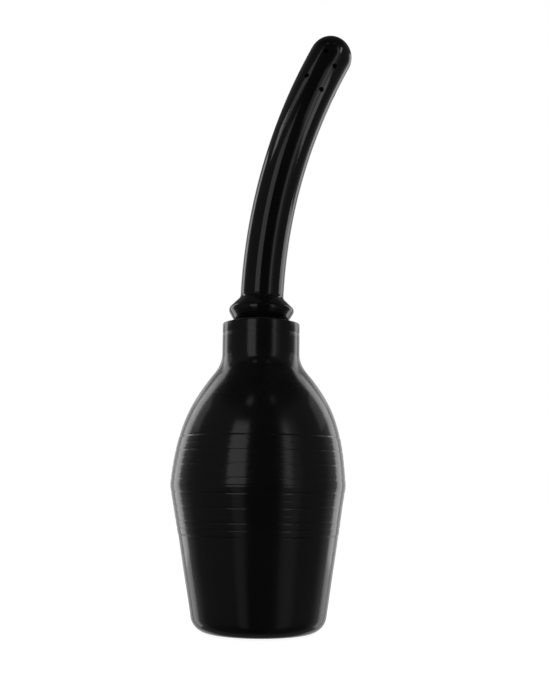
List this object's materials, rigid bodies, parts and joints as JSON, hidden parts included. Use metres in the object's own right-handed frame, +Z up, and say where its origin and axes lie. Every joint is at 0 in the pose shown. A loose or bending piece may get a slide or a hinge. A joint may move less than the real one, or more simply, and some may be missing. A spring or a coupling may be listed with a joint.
{
  "type": "squeeze bulb with curved nozzle",
  "caption": "Soft black squeeze bulb with a ribbed waist, flat base and thick neck; a glossy curved nozzle with a domed, perforated tip turns in the neck and pulls out for filling.",
  "frame": {"origin": "centre of the flat base, on the surface that the bulb stands on", "axes": "+Z up along the bulb's axis, +X towards the side that the nozzle curves to"},
  "size_m": [0.0819, 0.08, 0.2817],
  "materials": {
    "bulb_vinyl": "satin soft vinyl, moulded, with shallow grip grooves round the waist",
    "nozzle_plastic": "polished hard plastic",
    "bush_plastic": "plain moulded",
    "seal_rubber": "matt seal rubber",
    "valve_plastic": "natural moulded plastic",
    "valve_steel": "stainless, fine ground"
  },
  "bodies": {
    "bulb": {"bulb_body": "bulb_vinyl", "neck_bush": "bush_plastic"},
    "seals": {"collar_gasket": "seal_rubber", "spigot_o_ring": "seal_rubber"},
    "nozzle": {"nozzle_collar": "nozzle_plastic", "nozzle_tube": "nozzle_plastic", "valve_seat": "valve_plastic", "valve_cage": "valve_plastic", "valve_spring": "valve_steel"},
    "valve_ball": {"valve_ball": "valve_steel"}
  },
  "joints": [
    {"name": "nozzle_pull", "type": "slide", "parent": "bulb", "child": "seals", "axis": [0, 0, 1], "range_m": [0, 0.028]},
    {"name": "nozzle_turn", "type": "hinge", "parent": "seals", "child": "nozzle", "pos_m": [0, 0, 0.143], "axis": [0, 0, 1], "continuous": true},
    {"name": "valve_lift", "type": "slide", "parent": "nozzle", "child": "valve_ball", "axis": [0, 0, 1], "range_m": [0, 0.0025], "stiffness_N_per_m": 30, "springref_m": -0.002, "deforming": ["valve_spring"]}
  ]
}
